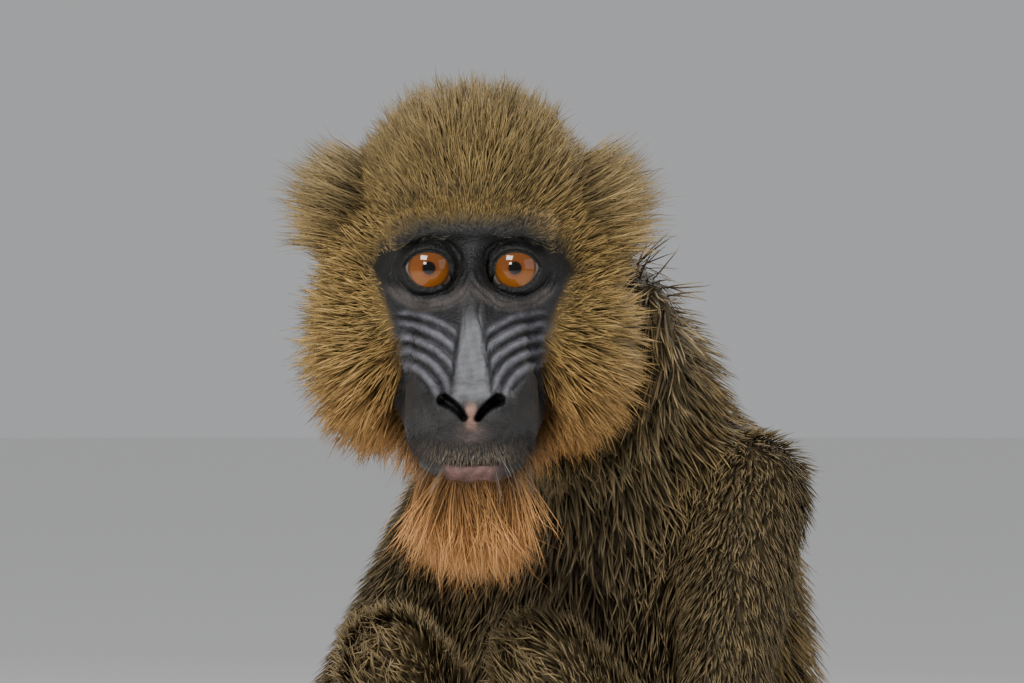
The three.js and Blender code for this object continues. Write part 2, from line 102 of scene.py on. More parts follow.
def ramp(value, start, end):
    return smooth((value - start) / (end - start))


def unit(vectors):
    return vectors / np.maximum(np.linalg.norm(vectors, axis=1), 1e-6)[:, None]


def flattened(vectors, normals):
    """The part of each vector that lies along the skin."""
    return vectors - normals * np.sum(vectors * normals, 1)[:, None]


def folded(points):
    """Distance from the head's middle plane, depth and height of each point."""
    return np.abs(points[:, 0]), points[:, 1], points[:, 2]


def mass_distance(points, mass):
    at, half, pitch = mass
    delta = points - np.array(at, float)
    c = math.cos(math.radians(pitch))
    s = math.sin(math.radians(pitch))
    turned = np.stack((delta[:, 0], c * delta[:, 1] + s * delta[:, 2], c * delta[:, 2] - s * delta[:, 1]), 1)
    near = np.linalg.norm(turned / half, axis=1)
    slope = np.linalg.norm(turned / np.square(half), axis=1)
    return near * (near - 1) / np.maximum(slope, 1e-6)


def blended(a, b, reach):
    share = np.maximum(reach - np.abs(a - b), 0) / reach
    return np.minimum(a, b) - share**2 * reach / 4


def head_distance(points):
    distance = mass_distance(points, HEAD_MASSES[0])
    for mass in HEAD_MASSES[1:]:
        distance = blended(distance, mass_distance(points, mass), HEAD_BLEND)
    socket = np.minimum(*(mass_distance(points, orbit) for orbit in ORBITS))
    return -blended(-distance, socket, ORBIT_BLEND)


def head_slope(points):
    here = head_distance(points)
    nudges = np.eye(3) * 0.05
    return here, np.stack([(head_distance(points + n) - here) / 0.05 for n in nudges], 1)


def on_head(points, passes=4):
    for _ in range(passes):
        here, slope = head_slope(points)
        steep = np.maximum(np.sum(slope**2, 1), 0.3)
        points = points - slope * np.clip(here / steep, -1.5, 1.5)[:, None]
    return points


# The body under its coat: trunk, limbs and tail as bones with a thickness. They say how deep the coat is at
# each place and which way it lies, which is from the head backwards and down each limb.
BODY_YAW = math.radians(30)
PELVIS_X = 52
PELVIS_Y = 125
LEFTWARD = np.array((math.cos(BODY_YAW), -math.sin(BODY_YAW), 0))
BACKWARD = np.array((math.sin(BODY_YAW), math.cos(BODY_YAW), 0))


def body(u, v, w):
    return np.array((PELVIS_X, PELVIS_Y, w - EYE_HEIGHT)) + LEFTWARD * u + BACKWARD * v


def limb_bones(sign):
    shoulder = body(sign * 49, -13, 214)
    elbow = body(sign * 70, -70, 138)
    wrist = body(sign * 82, -122, 36)
    fingers = body(sign * 82, -190, 3)
    hip = body(sign * 42, 2, 46)
    knee = body(sign * 28, -108, 160)
    ankle = body(sign * 30, -94, 34)
    toes = body(sign * 38, -200, 3)
    return [
        ("arm", shoulder, elbow, 25, 5.5),
        ("forearm", elbow, wrist, 16, 4.5),
        ("hand", wrist, fingers, 12, 0.8),
        ("thigh", hip, knee, 34, 7.5),
        ("shank", knee, ankle, 19, 4.5),
        ("foot", ankle, toes, 14, 0.8),
    ]


BONES = [
    ("neck", np.array((3.0, 46, -17)), body(0, -24, 238), 48, 11.5),
    ("trunk", body(0, -30, 240), body(0, -2, 170), 62, 10.5),
    ("trunk", body(0, -2, 170), body(0, 4, 90), 66, 10),
    ("trunk", body(0, 4, 90), body(0, 16, 28), 64, 9),
    ("tail", body(0, 50, 54), body(0, 78, 76), 10, 3),
    ("tail", body(0, 78, 76), body(0, 84, 106), 8, 3),
    *limb_bones(1),
    *limb_bones(-1),
]
BONE_KINDS = np.array([bone[0] for bone in BONES])


def bone_shares(points):
    """How much each bone counts at each point, as rows that add up to one."""
    nearness = []
    for _, start, end, thick, _ in BONES:
        axis = end - start
        along = np.clip((points - start) @ axis / (axis @ axis), 0, 1)
        nearness.append(np.linalg.norm(points - start - along[:, None] * axis, axis=1) / thick)
    nearness = np.stack(nearness, 1)
    weight = np.exp(-9 * (nearness - nearness.min(1, keepdims=True)))
    return weight / weight.sum(1, keepdims=True)


def body_coat(points):
    return bone_shares(points) @ np.array([bone[4] for bone in BONES])


def on_kinds(shares, *kinds):
    return shares[:, np.isin(BONE_KINDS, kinds)].sum(1)


def wobble(points, size, seed=0):
    """A smooth noise from -1 to 1, with lumps of about this size."""
    total = np.zeros(len(points))
    for i in range(6):
        turn = np.array((math.sin(2.1 * i + seed), math.cos(3.7 * i + seed), math.sin(5.3 * i + 1.3 * seed)))
        total += np.sin(points @ turn * (2.6 + 0.7 * i) / size + 1.7 * i * (seed + 1))
    return total / 3.2


# One skin piece, cut from the same forms as the solids, inside them by the coat's depth. Thin places are lost
# from it: it is open at the neck under the coat, at both ankles and at most fingertips. It is finer on the
# bare face, whose folds, lips and nostrils are raised in it.
BODY_VOXEL = 2.0 * MM
SKIN_VOXEL = 2.35 * MM
FLOOR_GAP = 0.3


def mesh_of(shape, name):
    mesh = bpy.data.meshes.new(name)
    shape.to_mesh(mesh)
    shape.free()
    return mesh


def smooth_object(mesh, material):
    """The object that shows a mesh, smooth and in one material, under the mesh's name."""
    mesh.polygons.foreach_set("use_smooth", [True] * len(mesh.polygons))
    mesh.materials.append(material)
    thing = bpy.data.objects.new(mesh.name, mesh)
    bpy.context.collection.objects.link(thing)
    return thing


def remeshed(thing, voxel):
    bpy.context.view_layer.objects.active = thing
    modifier = thing.modifiers.new("one_surface", "REMESH")
    modifier.mode = "VOXEL"
    modifier.voxel_size = voxel
    bpy.context.view_layer.update()
    mesh = bpy.data.meshes.new_from_object(thing.evaluated_get(bpy.context.evaluated_depsgraph_get()))
    thing.modifiers.clear()
    thing.data = mesh
    return thing


def coordinates(mesh):
    values = np.empty(len(mesh.vertices) * 3)
    mesh.vertices.foreach_get("co", values)
    return values.reshape(-1, 3)


def set_coordinates(mesh, points):
    mesh.vertices.foreach_set("co", np.asarray(points, float).ravel())
    mesh.update()


def vertex_normals(mesh):
    values = np.empty(len(mesh.vertices) * 3)
    mesh.vertex_normals.foreach_get("vector", values)
    return values.reshape(-1, 3)


def relaxed(mesh, points, share, passes):
    """Each point drawn towards the middle of its neighbours."""
    edges = np.empty(len(mesh.edges) * 2, int)
    mesh.edges.foreach_get("vertices", edges)
    edges = edges.reshape(-1, 2)
    count = np.bincount(edges.ravel(), minlength=len(points))
    count = np.maximum(count, 1)
    for _ in range(passes):
        total = np.zeros_like(points)
        for axis in range(3):
            total[:, axis] += np.bincount(edges[:, 0], points[edges[:, 1], axis], len(points))
            total[:, axis] += np.bincount(edges[:, 1], points[edges[:, 0], axis], len(points))
        points = points + (total / count[:, None] - points) * np.reshape(share, (-1, 1))
    return points


def paw_ease(points):
    """How far the relaxing may draw each point: little on the slim digits of hands and feet."""
    return 0.5 - 0.42 * ramp(on_kinds(bone_shares(points), "hand", "foot"), 0.4, 0.8)


FLESH = [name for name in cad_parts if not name.startswith("eye_")]
shape = bmesh.new()
for name in FLESH:
    if name in ("head", "lower_jaw") or name.startswith("ear_"):
        continue
    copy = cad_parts[name].data.copy()
    shape.from_mesh(copy)
    bpy.data.meshes.remove(copy)
bmesh.ops.remove_doubles(shape, verts=shape.verts, dist=0.01 * MM)
skin = bpy.data.objects.new("skin", mesh_of(shape, "skin"))
bpy.context.collection.objects.link(skin)
remeshed(skin, BODY_VOXEL)

# Drawn in by the coat's depth.
points = local(coordinates(skin.data))
ease = paw_ease(points)
points = relaxed(skin.data, points, ease, 4)
set_coordinates(skin.data, points)
depth = body_coat(points)
points = points - vertex_normals(skin.data) * depth[:, None]
points = relaxed(skin.data, points, ease, 3)
points[:, 2] = np.maximum(points[:, 2], FLOOR_GAP - EYE_HEIGHT)
set_coordinates(skin.data, placed(points))

# The head's masses joined on, and the surface drawn to them.
shape = bmesh.new()
shape.from_mesh(skin.data)
for at, half, pitch in HEAD_MASSES:
    place = Matrix.Translation(placed(at)) @ Matrix.Rotation(math.radians(pitch), 4, "X")
    size = Matrix.Diagonal((*(value * MM for value in half), 1))
    bmesh.ops.create_icosphere(shape, subdivisions=4, radius=1, matrix=place @ size)
shape.to_mesh(skin.data)
shape.free()
remeshed(skin, SKIN_VOXEL)

points = local(coordinates(skin.data))
face_side = (points[:, 1] < 25) & (points[:, 2] > -76) & (np.abs(points[:, 0]) < 45)
headlike = (head_distance(points) < 0.6) | face_side
points[headlike] = on_head(points[headlike])
ease = paw_ease(points)
points = relaxed(skin.data, points, np.where(headlike, 0.15, ease), 3)
points[face_side] = on_head(points[face_side])
set_coordinates(skin.data, points)

FACE_CUTS = 2


def on_bare_face(centre):
    return centre.y < 11 and -68 < centre.z < 17 and abs(centre.x) < 29 + 0.35 * centre.z * (centre.z < 0)


shape = bmesh.new()
shape.from_mesh(skin.data)
for _ in range(FACE_CUTS):
    edges = {edge for face in shape.faces if on_bare_face(face.calc_center_median()) for edge in face.edges}
    bmesh.ops.subdivide_edges(shape, edges=list(edges), cuts=1, use_grid_fill=True)
bmesh.ops.triangulate(shape, faces=[face for face in shape.faces if len(face.verts) > 4])
shape.to_mesh(skin.data)
shape.free()

points = coordinates(skin.data)
fine = (points[:, 1] < 20) & (points[:, 2] > -78) & (points[:, 2] < 24) & (np.abs(points[:, 0]) < 40)
points[fine] = on_head(points[fine])
points = relaxed(skin.data, points, np.where(fine, 0.3, 0.0), 2)
set_coordinates(skin.data, points)

# Folds of the face, from the photograph: ridges that run from the cheek down towards the nose, the flat of
# the nose between two furrows, slanted nostrils, the lips, and the folds round the eyes.
BROW_LINE = 11.0
BROW_DROOP = 0.0062
RIDGE_CENTRE = (22.0, -42.0)
RIDGE_FIRST = 22.2
RIDGE_STEP = 4.1
EYE_X = EYE_APART / 2
NOSTRIL_TOP = (8.4, -40.6)
NOSTRIL_LOW = (2.1, -46.0)
NOSTRIL_DEPTH = 7.0
MOUTH_HEIGHT = -59.8
MOUTH_RISE = 3.4
MOUTH_HALF = 19.0


def ridge_place(x, z):
    """The ridges' own count from the cheek inwards, and how strongly they show, beside the nose."""
    radius = np.hypot(x - RIDGE_CENTRE[0], z - RIDGE_CENTRE[1])
    count = (radius - RIDGE_FIRST) / RIDGE_STEP
    shown = ramp(radius, 8.0, 11.0) * ramp(radius, 30.0, 27.0)
    shown *= ramp(x - nose_edge(z), 0.2, 2.2) * ramp(z, -41.0, -37.0) * ramp(x, 25.0, 20.0)
    return count, shown


def nose_edge(z):
    return 2.5 + np.clip(-12 - z, 0, 30) * 0.125


def mouth_line(x):
    return MOUTH_HEIGHT + MOUTH_RISE * (x / MOUTH_HALF) ** 2


def nostril_distance(x, z):
    """Distance from the slit, less the slit's half width."""
    top = np.array(NOSTRIL_TOP)
    run = np.array(NOSTRIL_LOW) - top
    along = np.clip(((x - top[0]) * run[0] + (z - top[1]) * run[1]) / (run @ run), 0, 1)
    bow = 0.9 * np.sin(np.pi * along)
    gap = np.hypot(x - top[0] - along * run[0], z - top[1] - along * run[1] - bow)
    return gap - (2.0 - 0.85 * along)


def face_relief(points):
    x = np.abs(points[:, 0] + 0.5 * wobble(points, 9, 2))
    z = points[:, 2] + 0.5 * wobble(points, 8, 4)
    front = ramp(points[:, 1], 14, 6)
    count, shown = ridge_place(x, z)
    furrow = np.abs(count - np.round(count)) * RIDGE_STEP
    relief = shown * (0.55 * np.cos(2 * np.pi * (count - 0.5)) - 0.75 * np.exp(-((furrow / 0.62) ** 2)))
    beside = x - nose_edge(z)
    on_nose = ramp(z, -40, -34) * ramp(z, -9, -14)
    relief += on_nose * (0.5 * ramp(beside, 0.3, -1.2) - 0.9 * np.exp(-((beside / 0.8) ** 2)))
    # Two folds under each eye, and one over it.
    ex = (x - EYE_X) / 7.4
    ez = z / 6.6
    around = np.hypot(ex, ez)
    below = ramp(ez, 0.1, -0.6)
    above = ramp(ez, 0.2, 0.7)
    folds = 0.45 * np.cos((around - 1.42) * 2 * np.pi / 0.27)
    folds *= ramp(around, 1.15, 1.35) * ramp(around, 2.1, 1.8)
    relief += below * folds * ramp(z, -16, -12)
    relief -= above * 0.9 * np.exp(-(((around - 1.4) / 0.09) ** 2))
    brow = BROW_LINE + 0.8 - BROW_DROOP * x**2
    relief += 1.5 * np.exp(-(((z - brow) / 2.4) ** 2)) * ramp(x, 33, 27)
    # The lips part along one line, with a soft roll on each side.
    lip = points[:, 2] - mouth_line(points[:, 0])
    within = ramp(x, MOUTH_HALF + 2.5, MOUTH_HALF - 2)
    rolls = 0.7 * np.exp(-(((lip + 2.6) / 1.7) ** 2)) + 0.35 * np.exp(-(((lip - 1.8) / 1.1) ** 2))
    relief += within * rolls
    relief -= within * 1.5 * np.exp(-((lip / 0.6) ** 2))
    # Fine creases of the muzzle.
    muzzle = ramp(z, -36, -44) * ramp(x, 1, 4)
    relief += muzzle * 0.14 * wobble(points * (1, 0.4, 1), 1.5, 6)
    relief += front * 0.08 * wobble(points, 2.2, 8)
    return relief * front


relief = np.zeros(len(points))
relief[fine] = face_relief(points[fine])
normals = vertex_normals(skin.data)
points = points + normals * relief[:, None]
slit = nostril_distance(np.abs(points[:, 0]), points[:, 2])
hole = fine & (points[:, 1] < -30)
points[:, 1] += np.where(hole, NOSTRIL_DEPTH * ramp(slit, 0.4, -1.3), 0)

# The skin runs behind each eye, out of sight of the ball.
for side in (1, -1):
    across = np.hypot(points[:, 0] - side * EYE_X, points[:, 2])
    ball = EYE_DEPTH - np.sqrt(np.maximum(EYE_RADIUS**2 - across**2, 0))
    behind = fine & (across < EYE_RADIUS - 0.9)
    points[:, 1] = np.where(behind, np.maximum(points[:, 1], ball + 1.3), points[:, 1])
set_coordinates(skin.data, placed(points))
skin.data.polygons.foreach_set("use_smooth", [True] * len(skin.data.polygons))


# The markings, which skin and coat share: slate face with pale ridges and a pink lip, golden cheeks, orange
# beard, olive crown and back, greyer limbs and belly. Light and shade are painted into the skin too: a
# highlight on the ridges' crests, shade in the sockets and between the eyes under the brow, in the nostrils,
# where the lips part, and on the skin under the coat.
FACE_OUTLINE_Z = [-70, -65, -59, -53, -44, -33, -24, -14.6, -7, 0, 5, 9, 14]
FACE_OUTLINE_X = [4, 10, 18.6, 22.5, 23, 21, 21.0, 23.5, 26.5, 30.0, 32.5, 28.0, 20.0]


def face_edge_gap(points):
    """How far outside the bare face a point of the head is, sideways, over the brow or behind."""
    x, y, z = folded(points)
    sideways = x - np.interp(z, FACE_OUTLINE_Z, FACE_OUTLINE_X)
    over = z - (BROW_LINE - BROW_DROOP * np.minimum(x * x, 900))
    under = -64.5 + 0.016 * x**2 - z
    behind = (y - 17) * 0.9
    return np.maximum.reduce((sideways, over, under, behind)) + 0.8 * wobble(points, 5, 3)


def mixed(a, b, share):
    return a + (np.asarray(b, float) - a) * np.asarray(share)[:, None]


CROWN_OLIVE = (0.150, 0.103, 0.037)
CHEEK_GOLD = (0.235, 0.152, 0.048)
CHEEK_ORANGE = (0.300, 0.150, 0.045)
BEARD_ORANGE = (0.42, 0.210, 0.072)
BROW_BLACK = (0.018, 0.017, 0.015)
TEMPLE_BROWN = (0.055, 0.050, 0.036)
TRUNK_OLIVE = (0.140, 0.096, 0.036)
LIMB_OLIVE = np.array((0.120, 0.088, 0.043))
BELLY_BROWN = (0.135, 0.100, 0.052)
PAW_BROWN = (0.05, 0.042, 0.034)


def coat_colour(points):
    """Linear colour of the middle of a hair that is rooted at each point."""
    x, y, z = folded(points)
    shares = bone_shares(points)
    coat = np.tile(TRUNK_OLIVE, (len(points), 1))
    coat = mixed(coat, LIMB_OLIVE, on_kinds(shares, "arm", "forearm", "shank"))
    coat = mixed(coat, LIMB_OLIVE * 1.1, on_kinds(shares, "thigh") * 0.7)
    forward = (points - body(0, 0, 130)) @ -BACKWARD
    coat = mixed(coat, BELLY_BROWN, on_kinds(shares, "trunk") * ramp(forward, 25, 55))
    coat = mixed(coat, PAW_BROWN, on_kinds(shares, "hand", "foot"))
    head = np.tile(CROWN_OLIVE, (len(points), 1))
    head = mixed(head, CHEEK_GOLD, ramp(z, 26, -6) * ramp(y, 62, 34))
    head = mixed(head, CHEEK_ORANGE, ramp(z, -16, -56) * ramp(y, 60, 30))
    head = mixed(head, BEARD_ORANGE, ramp(z, -52, -64) * ramp(x, 34, 16) * ramp(y, 26, 0))
    brow = ramp(z, BROW_LINE + 5, BROW_LINE + 0.5) * ramp(y, 26, 10) * ramp(z, 2, 6) * ramp(x, 25, 14)
    head = mixed(head, BROW_BLACK, brow)
    temple = ramp(face_edge_gap(points), 6, 0) * ramp(z, -14, 2)
    head = mixed(head, TEMPLE_BROWN, 0.6 * temple)
    colour = mixed(coat, head, ramp(head_distance(points), 9, 3))
    return colour * (1 + 0.16 * wobble(points, 11, 5))[:, None]


SLATE = (0.0115, 0.0116, 0.0132)
# The ridges' own pale grey, with a painted highlight on their crests.
RIDGE_GREY_AND_HIGHLIGHT = (0.120, 0.121, 0.142)
NOSE_GREY = (0.130, 0.134, 0.145)
# Painted shade on the bridge between the eyes, under the brow.
BRIDGE_PAINTED_SHADE = (0.022, 0.020, 0.021)
# Painted shade in the eye sockets under the brow, near black.
SOCKET_PAINTED_SHADE = (0.0065, 0.0065, 0.007)
EYELID_BLACK = (0.004, 0.004, 0.0042)
# Painted shade between the eyes, beside the bridge, under the brow.
BESIDE_BRIDGE_PAINTED_SHADE = (0.0045, 0.0045, 0.0048)
POUCH_BROWN = (0.048, 0.042, 0.040)
MUZZLE_GREY = (0.021, 0.020, 0.0205)
SEPTUM_PINK = (0.22, 0.125, 0.098)
UNDER_NOSE_PINK = (0.10, 0.070, 0.062)
LOWER_LIP_PINK = (0.125, 0.068, 0.060)
UPPER_LIP_BLACK = (0.016, 0.015, 0.015)
# Painted shade where the lips part.
MOUTH_PAINTED_SHADE = (0.006, 0.004, 0.004)
# Painted shade inside the nostrils.
NOSTRIL_PAINTED_SHADE = (0.002, 0.002, 0.002)
PALM_BROWN = (0.055, 0.043, 0.040)


def skin_colour(points):
    """Linear colour of the skin: under the coat, painted shade in the coat's colour; the face and hands are
    bare.
    """
    x, y, z = folded(points)
    # Under the coat, the coat's colour darkened: painted shade deep in the coat.
    under_coat_shade = coat_colour(points) * 0.42
    face = np.tile(SLATE, (len(points), 1))
    count, shown = ridge_place(x, z)
    # Pale grey ridges, their crests lighter as a painted highlight.
    ridge = shown * (0.5 + 0.5 * np.cos(2 * np.pi * (count - 0.5)))
    face = mixed(face, RIDGE_GREY_AND_HIGHLIGHT, ridge * 0.8)
    nose = ramp(x - nose_edge(z), 0.6, -1.0) * ramp(z, -8, -20) * ramp(z, -44, -38)
    face = mixed(face, NOSE_GREY, nose * 0.85)
    # Painted shade on the bridge between the eyes, under the brow.
    dorsum = ramp(x, 5, 1) * ramp(z, 12, 4) * ramp(z, -20, -8)
    face = mixed(face, BRIDGE_PAINTED_SHADE, dorsum)
    around = np.hypot((x - EYE_X) / 7.4, z / 6.6)
    # Painted shade under the brow: the eye sockets near black.
    socket = np.hypot((x - 15.5) / 18.5, (z - 2.5) / 10.5)
    face = mixed(face, SOCKET_PAINTED_SHADE, ramp(socket, 1.12, 0.85) * 0.97)
    face = mixed(face, EYELID_BLACK, ramp(around, 1.5, 1.15))
    # Painted shade between the eyes, beside the bridge.
    inner = ramp(x, 10, 7) * ramp(x, 1.2, 3.2) * ramp(z, -11, -6) * ramp(z, 12, 8)
    face = mixed(face, BESIDE_BRIDGE_PAINTED_SHADE, inner)
    pouch = ramp(around, 1.4, 1.6) * ramp(around, 2.2, 1.9) * ramp(z, -4, -8)
    face = mixed(face, POUCH_BROWN, pouch * 0.8)
    muzzle = ramp(z, -38, -46)
    face = mixed(face, MUZZLE_GREY, muzzle * 0.8)
    septum = ramp(x, 2.4, 0.6) * ramp(z, -40, -44) * ramp(z, -51, -48)
    face = mixed(face, SEPTUM_PINK, septum)
    under_nose = ramp(np.hypot(x / 1.6, z + 50.5), 4.5, 1.5)
    face = mixed(face, UNDER_NOSE_PINK, under_nose * 0.4)
    lip = z - mouth_line(points[:, 0])
    lower_lip = ramp(lip, -0.3, -1.2) * ramp(lip, -7.0, -5.0) * ramp(x, 11, 5)
    face = mixed(face, LOWER_LIP_PINK, lower_lip * (0.75 + 0.25 * wobble(points, 3, 1)))
    upper = ramp(lip, 4.6, 3.2) * ramp(lip, -0.2, 0.6)
    face = mixed(face, UPPER_LIP_BLACK, upper * 0.8)
    # Painted shade in the gap where the lips part.
    parted = np.exp(-((lip / 0.8) ** 2)) * ramp(x, MOUTH_HALF + 2, MOUTH_HALF - 1)
    face = mixed(face, MOUTH_PAINTED_SHADE, parted)
    # Painted shade inside the nostrils.
    slit = nostril_distance(x, z)
    face = mixed(face, NOSTRIL_PAINTED_SHADE, ramp(slit, 0.5, -0.4) * ramp(y, -26, -32))
    face *= (1 + 0.22 * wobble(points, 3.1, 7))[:, None]
    bare = on_kinds(bone_shares(points), "hand", "foot")
    palm = np.tile(PALM_BROWN, (len(points), 1)) * (1 + 0.2 * wobble(points, 6, 2))[:, None]
    colour = mixed(under_coat_shade, palm, ramp(bare, 0.35, 0.8))
    on_face = ramp(face_edge_gap(points), 3.5, 0.5) * ramp(head_distance(points), 9, 3)
    return mixed(colour, face, on_face)


def paint(mesh, colours):
    layer = mesh.color_attributes.new("marking", "FLOAT_COLOR", "POINT")
    values = np.ones((len(mesh.vertices), 4))
    values[:, :3] = np.clip(colours, 0, 1)
    layer.data.foreach_set("color", values.ravel())


def grain_group():
    """Pores and fine crossed creases of bare skin, as a height and a change of roughness."""
    group = bpy.data.node_groups.new("skin_grain", "ShaderNodeTree")
    group.interface.new_socket("Pore size", in_out="INPUT", socket_type="NodeSocketFloat")
    group.interface.new_socket("Base roughness", in_out="INPUT", socket_type="NodeSocketFloat")
    group.interface.new_socket("Height", in_out="OUTPUT", socket_type="NodeSocketFloat")
    group.interface.new_socket("Roughness", in_out="OUTPUT", socket_type="NodeSocketFloat")
    nodes = group.nodes
    given = nodes.new("NodeGroupInput")
    out = nodes.new("NodeGroupOutput")
    place = nodes.new("ShaderNodeTexCoord")
    pores = nodes.new("ShaderNodeTexVoronoi")
    cloud = nodes.new("ShaderNodeTexNoise")
    cloud.inputs["Detail"].default_value = 6
    cloud.inputs["Roughness"].default_value = 0.65
    both = nodes.new("ShaderNodeMath")
    both.operation = "MULTIPLY_ADD"
    both.inputs[1].default_value = 0.6
    rough = nodes.new("ShaderNodeMath")
    rough.operation = "MULTIPLY_ADD"
    rough.inputs[1].default_value = 0.22
    links = group.links
    links.new(place.outputs["Object"], pores.inputs["Vector"])
    links.new(place.outputs["Object"], cloud.inputs["Vector"])
    links.new(given.outputs["Pore size"], pores.inputs["Scale"])
    links.new(given.outputs["Pore size"], cloud.inputs["Scale"])
    links.new(pores.outputs["Distance"], both.inputs[0])
    links.new(cloud.outputs["Fac"], both.inputs[2])
    links.new(cloud.outputs["Fac"], rough.inputs[0])
    links.new(given.outputs["Base roughness"], rough.inputs[2])
    links.new(both.outputs[0], out.inputs["Height"])
    links.new(rough.outputs[0], out.inputs["Roughness"])
    return group


SKIN_GRAIN = grain_group()


def marked_material(name):
    """A material whose colour is the marking painted on the piece."""
    material = bpy.data.materials.new(name)
    material.use_nodes = True
    nodes = material.node_tree.nodes
    marking = nodes.new("ShaderNodeAttribute")
    marking.attribute_name = "marking"
    material.node_tree.links.new(marking.outputs["Color"], nodes["Principled BSDF"].inputs["Base Color"])
    return material


def bare_material(name, pores, roughness, bump):
    material = marked_material(name)
    nodes = material.node_tree.nodes
    links = material.node_tree.links
    shader = nodes["Principled BSDF"]
    shader.inputs["Specular IOR Level"].default_value = 0.22
    grain = nodes.new("ShaderNodeGroup")
    grain.node_tree = SKIN_GRAIN
    grain.inputs["Pore size"].default_value = pores
    grain.inputs["Base roughness"].default_value = roughness
    relief = nodes.new("ShaderNodeBump")
    relief.inputs["Strength"].default_value = bump
    relief.inputs["Distance"].default_value = 0.0004
    links.new(grain.outputs["Roughness"], shader.inputs["Roughness"])
    links.new(grain.outputs["Height"], relief.inputs["Height"])
    links.new(relief.outputs["Normal"], shader.inputs["Normal"])
    return material


paint(skin.data, skin_colour(local(coordinates(skin.data))))
FACE_SKIN = bare_material("slate_skin", 1300, 0.34, 0.9)
skin.data.materials.clear()
skin.data.materials.append(FACE_SKIN)
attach(skin, "root")
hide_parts(*FLESH)


# The eyes: a wet ball with an amber iris, fine darker spokes and a small round pupil, and no white to speak
# of in the opening. The iris is lighter in its lower half as painted light, and darker at the top as painted
# shade under the lid.
IRIS_RADIUS = 6.5
PUPIL_RADIUS = 2.0
IRIS_AMBER = (0.105, 0.033, 0.006)
# The iris's lower half, lighter as painted light; its top stays darker as painted shade under the lid.
IRIS_LOWER_LIT_AMBER = (0.205, 0.068, 0.010)
IRIS_INNER_BROWN = (0.11, 0.028, 0.004)
IRIS_RIM_BROWN = (0.05, 0.020, 0.008)
EYE_WHITE = (0.13, 0.10, 0.085)
EYE_CORNER = (0.04, 0.03, 0.03)
PUPIL_BLACK = (0.001, 0.001, 0.001)


def eye_colour(points, side):
    dx = points[:, 0] - side * EYE_X
    dz = points[:, 2]
    radius = np.hypot(dx, dz)
    turn = np.arctan2(dz, dx)
    amber = np.tile(IRIS_AMBER, (len(points), 1))
    # Painted light and shade: the iris lighter towards the bottom, darker at the top under the lid.
    amber = mixed(amber, IRIS_LOWER_LIT_AMBER, ramp(-dz, -2.0, 4.5) * 0.8)
    amber = mixed(amber, IRIS_INNER_BROWN, ramp(radius, 3.6, 2.1) * 0.8)
    spokes = 0.5 + 0.25 * np.sin(turn * 41 + 3 * np.sin(turn * 7)) + 0.25 * np.sin(turn * 67 + 1.3)
    amber *= (0.86 + 0.22 * spokes)[:, None]
    rim = ramp(radius, IRIS_RADIUS - 1.0, IRIS_RADIUS - 0.1)
    colour = mixed(amber, IRIS_RIM_BROWN, rim * 0.92)
    colour = mixed(colour, EYE_WHITE, ramp(radius, IRIS_RADIUS - 0.05, IRIS_RADIUS + 0.25))
    colour = mixed(colour, EYE_CORNER, ramp(radius, IRIS_RADIUS + 0.5, IRIS_RADIUS + 1.1))
    return mixed(colour, PUPIL_BLACK, ramp(radius, PUPIL_RADIUS + 0.22, PUPIL_RADIUS - 0.1))


eye_material = marked_material("wet_eye")
eye_shader = eye_material.node_tree.nodes["Principled BSDF"]
eye_shader.inputs["Roughness"].default_value = 0.6
eye_shader.inputs["Specular IOR Level"].default_value = 0.0
eye_shader.inputs["Coat Weight"].default_value = 1.0
eye_shader.inputs["Coat Roughness"].default_value = 0.02
eye_shader.inputs["Coat IOR"].default_value = 1.4

for name, side in (("eye_left", 1), ("eye_right", -1)):
    shape = bmesh.new()
    facing = Matrix.Translation(placed((side * EYE_X, EYE_DEPTH, 0))) @ Matrix.Rotation(math.pi / 2, 4, "X")
    size = EYE_RADIUS * MM
    bmesh.ops.create_uvsphere(shape, u_segments=160, v_segments=120, radius=size, matrix=facing)
    mesh = mesh_of(shape, name + "_ball")
    paint(mesh, eye_colour(local(coordinates(mesh)), side))
    ball = smooth_object(mesh, eye_material)
    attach(ball, "root")
    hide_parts(name)


# The lids: a dark rim that lies on the eyeball round a nearly round opening, low at the inner corner, and
# runs out under the skin round it.
LID_COLUMNS = 144
LID_STEPS = [-0.7, 0.0, 0.25, 0.6, 1.1, 1.7, 2.4, 3.2, 4.1, 5.0]
LID_HEIGHTS = [0.05, 0.35, 0.85, 1.15, 1.3, 1.3, 1.15, 0.9, 0.5, 0.0]


def opening_radius(turn):
    """Distance from the pupil to the lid's rim. turn is from the outer corner upwards, in radians."""
    wide = np.where(np.cos(turn) > 0, 7.5, 6.9)
    tall = np.where(np.sin(turn) > 0, 5.5, 6.7)
    radius = wide * tall / np.hypot(tall * np.cos(turn), wide * np.sin(turn))
    inner = np.angle(np.exp(1j * (turn - math.radians(214))))
    outer = np.angle(np.exp(1j * (turn - math.radians(2))))
    return radius + 2.1 * np.exp(-((inner / 0.22) ** 2)) + 0.5 * np.exp(-((outer / 0.2) ** 2))


def skin_front(x, z):
    """How far forward the skin of the face reaches at each place."""
    points = np.stack((x, np.full_like(x, -60.0), z), 1)
    for _ in range(90):
        points[:, 1] += np.clip(head_distance(points) * 0.8, -2, 4)
    return points[:, 1]


